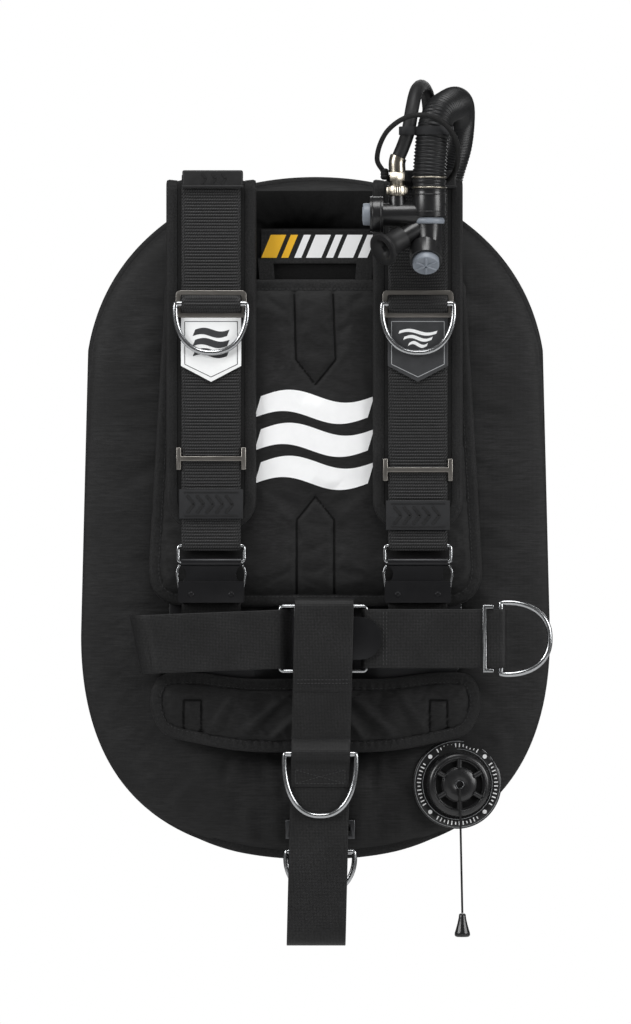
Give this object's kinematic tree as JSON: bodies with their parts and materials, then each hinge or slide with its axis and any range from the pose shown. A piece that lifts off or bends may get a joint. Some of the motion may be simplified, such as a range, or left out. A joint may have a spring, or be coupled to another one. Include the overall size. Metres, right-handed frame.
{
  "type": "buoyancy compensator vest",
  "caption": "Back-mounted diving buoyancy compensator: donut wing on a steel backplate with padded webbing harness, corrugated inflator hose, buckles, D-rings and a dump valve.",
  "frame": {"origin": "middle of the cylinder pad's rear face, halfway between the two plate bolts", "axes": "+Z towards the wearer's head, +Y towards the cylinder, +X towards the wearer's left shoulder, where the inflator is"},
  "size_m": [0.4005, 0.1707, 0.7345],
  "materials": {
    "cordura": "heavy woven nylon, matt black",
    "bladder_film": "coated film",
    "pad_fabric": "napped fabric over foam, black",
    "rib_webbing": "ribbed nylon webbing, black",
    "flat_webbing": "flat woven nylon webbing, black",
    "plate_steel": "brushed stainless sheet",
    "ring_steel": "polished stainless wire",
    "dark_steel": "dark brushed steel",
    "titanium": "warm grey bead-blasted metal",
    "black_metal": "black satin coating",
    "rubber": "matt black rubber",
    "black_plastic": "black moulded plastic",
    "grey_plastic": "cool grey moulded plastic",
    "nickel": "nickel plated brass",
    "cord": "braided cord"
  },
  "bodies": {
    "vest": {"wing_front_panel": "cordura", "wing_rear_panel": "cordura", "wing_bladder": "bladder_film", "back_pad": "pad_fabric", "lumbar_pad": "pad_fabric", "shoulder_pad_left": "pad_fabric", "shoulder_pad_right": "pad_fabric", "shoulder_webbing_left": "rib_webbing", "shoulder_webbing_right": "rib_webbing", "lower_strap_left": "flat_webbing", "lower_strap_right": "flat_webbing", "waist_belt_left": "flat_webbing", "waist_belt_right": "flat_webbing", "crotch_strap": "flat_webbing", "backplate": "plate_steel", "plate_bolt_upper": "plate_steel", "plate_bolt_lower": "plate_steel", "waist_buckle_frame": "ring_steel", "waist_ring_slider": "ring_steel", "clip_ring_left": "ring_steel", "clip_ring_right": "ring_steel", "ring_slider_left": "dark_steel", "ring_slider_right": "dark_steel", "clip_tongue_left": "black_metal", "clip_tongue_right": "black_metal", "clip_housing_left": "black_metal", "clip_housing_right": "black_metal", "tank_pad": "rubber", "corrugated_hose": "rubber", "mouthpiece": "rubber", "lp_hose": "rubber", "hose_band": "rubber", "bungee_loop": "rubber", "inflator_body": "black_plastic", "hose_elbow": "black_plastic", "dump_valve_base": "black_plastic", "dump_valve_cap": "black_plastic", "qd_coupling": "nickel", "hose_fitting": "nickel"},
    "left_ring": {"shoulder_d_ring_left": "ring_steel"},
    "right_ring": {"shoulder_d_ring_right": "ring_steel"},
    "waist_ring": {"waist_d_ring": "ring_steel"},
    "front_crotch_ring": {"crotch_d_ring_front": "ring_steel"},
    "rear_crotch_ring": {"crotch_d_ring_rear": "ring_steel"},
    "left_adjuster": {"strap_adjuster_left": "titanium"},
    "right_adjuster": {"strap_adjuster_right": "titanium"},
    "left_keeper": {"strap_keeper_left": "rubber"},
    "right_keeper": {"strap_keeper_right": "rubber"},
    "crotch_slide": {"crotch_slider": "dark_steel"},
    "left_inner_latch": {"clip_latch_left_inner": "ring_steel"},
    "left_outer_latch": {"clip_latch_left_outer": "ring_steel"},
    "right_inner_latch": {"clip_latch_right_inner": "ring_steel"},
    "right_outer_latch": {"clip_latch_right_outer": "ring_steel"},
    "buckle_flap": {"waist_buckle_flap": "black_metal"},
    "inflate": {"inflate_button": "grey_plastic"},
    "exhaust": {"exhaust_button": "grey_plastic"},
    "collar": {"qd_collar": "nickel"},
    "pull": {"pull_cord": "cord", "pull_knob": "rubber"},
    "plunger": {"valve_plunger": "rubber"}
  },
  "joints": [
    {"name": "left_ring_swing", "type": "hinge", "parent": "vest", "child": "left_ring", "pos_m": [-0.0884, -0.05905, 0.132], "axis": [-1, 0, 0], "range_deg": [0, 165]},
    {"name": "right_ring_swing", "type": "hinge", "parent": "vest", "child": "right_ring", "pos_m": [0.0867, -0.05905, 0.132], "axis": [-1, 0, 0], "range_deg": [0, 95]},
    {"name": "waist_ring_swing", "type": "hinge", "parent": "vest", "child": "waist_ring", "pos_m": [0.1569, -0.0592, -0.1513], "axis": [0, 0, 1], "range_deg": [-105, 45]},
    {"name": "front_crotch_ring_swing", "type": "hinge", "parent": "vest", "child": "front_crotch_ring", "pos_m": [0.004, -0.0618, -0.249], "axis": [-1, 0, 0], "range_deg": [0, 145]},
    {"name": "rear_crotch_ring_swing", "type": "hinge", "parent": "vest", "child": "rear_crotch_ring", "pos_m": [0.004, -0.0288, -0.333], "axis": [-1, 0, 0], "range_deg": [0, 42]},
    {"name": "left_adjuster_slide", "type": "slide", "parent": "vest", "child": "left_adjuster", "axis": [0, 0, 1], "range_m": [-0.006, 0.03]},
    {"name": "left_keeper_slide", "type": "slide", "parent": "vest", "child": "left_keeper", "axis": [0, 0, 1], "range_m": [-0.01, 0.006]},
    {"name": "right_adjuster_slide", "type": "slide", "parent": "vest", "child": "right_adjuster", "axis": [0, 0, 1], "range_m": [-0.006, 0.03]},
    {"name": "right_keeper_slide", "type": "slide", "parent": "vest", "child": "right_keeper", "axis": [0, 0, 1], "range_m": [-0.01, 0.006]},
    {"name": "crotch_slide_travel", "type": "slide", "parent": "vest", "child": "crotch_slide", "axis": [0, 0, 1], "range_m": [0, 0.03]},
    {"name": "left_inner_latch_press", "type": "hinge", "parent": "vest", "child": "left_inner_latch", "pos_m": [-0.0617, -0.04972, -0.0891], "axis": [0, 1, 0], "range_deg": [0, 6], "stiffness_Nm_per_rad": 0.05},
    {"name": "left_outer_latch_press", "type": "hinge", "parent": "vest", "child": "left_outer_latch", "pos_m": [-0.1151, -0.04972, -0.0891], "axis": [0, -1, 0], "range_deg": [0, 6], "stiffness_Nm_per_rad": 0.05},
    {"name": "right_inner_latch_press", "type": "hinge", "parent": "vest", "child": "right_inner_latch", "pos_m": [0.06, -0.04972, -0.0891], "axis": [0, -1, 0], "range_deg": [0, 6], "stiffness_Nm_per_rad": 0.05},
    {"name": "right_outer_latch_press", "type": "hinge", "parent": "vest", "child": "right_outer_latch", "pos_m": [0.1134, -0.04972, -0.0891], "axis": [0, 1, 0], "range_deg": [0, 6], "stiffness_Nm_per_rad": 0.05},
    {"name": "buckle_flap_lift", "type": "hinge", "parent": "vest", "child": "buckle_flap", "pos_m": [-0.017, -0.0594, -0.1513], "axis": [0, 0, -1], "range_deg": [0, 3.5]},
    {"name": "inflate_press", "type": "slide", "parent": "vest", "child": "inflate", "axis": [1, 0, 0], "range_m": [0, 0.003], "stiffness_N_per_m": 400},
    {"name": "exhaust_press", "type": "slide", "parent": "vest", "child": "exhaust", "axis": [0, 0.65, 0.76], "range_m": [0, 0.004], "stiffness_N_per_m": 400},
    {"name": "collar_pull", "type": "slide", "parent": "vest", "child": "collar", "axis": [0, 0, 1], "range_m": [0, 0.0038], "stiffness_N_per_m": 300},
    {"name": "dump_pull", "type": "slide", "parent": "vest", "child": "pull", "axis": [0.0207, 0, -0.9998], "range_m": [0, 0.008], "stiffness_N_per_m": 200},
    {"name": "plunger_lift", "type": "slide", "parent": "vest", "child": "plunger", "axis": [0.1392, -0.9903, 0], "range_m": [0, 0.003], "stiffness_N_per_m": 300}
  ],
  "couplings": [
    {"joint": "plunger_lift", "follows": "dump_pull", "ratio": 0.375}
  ]
}
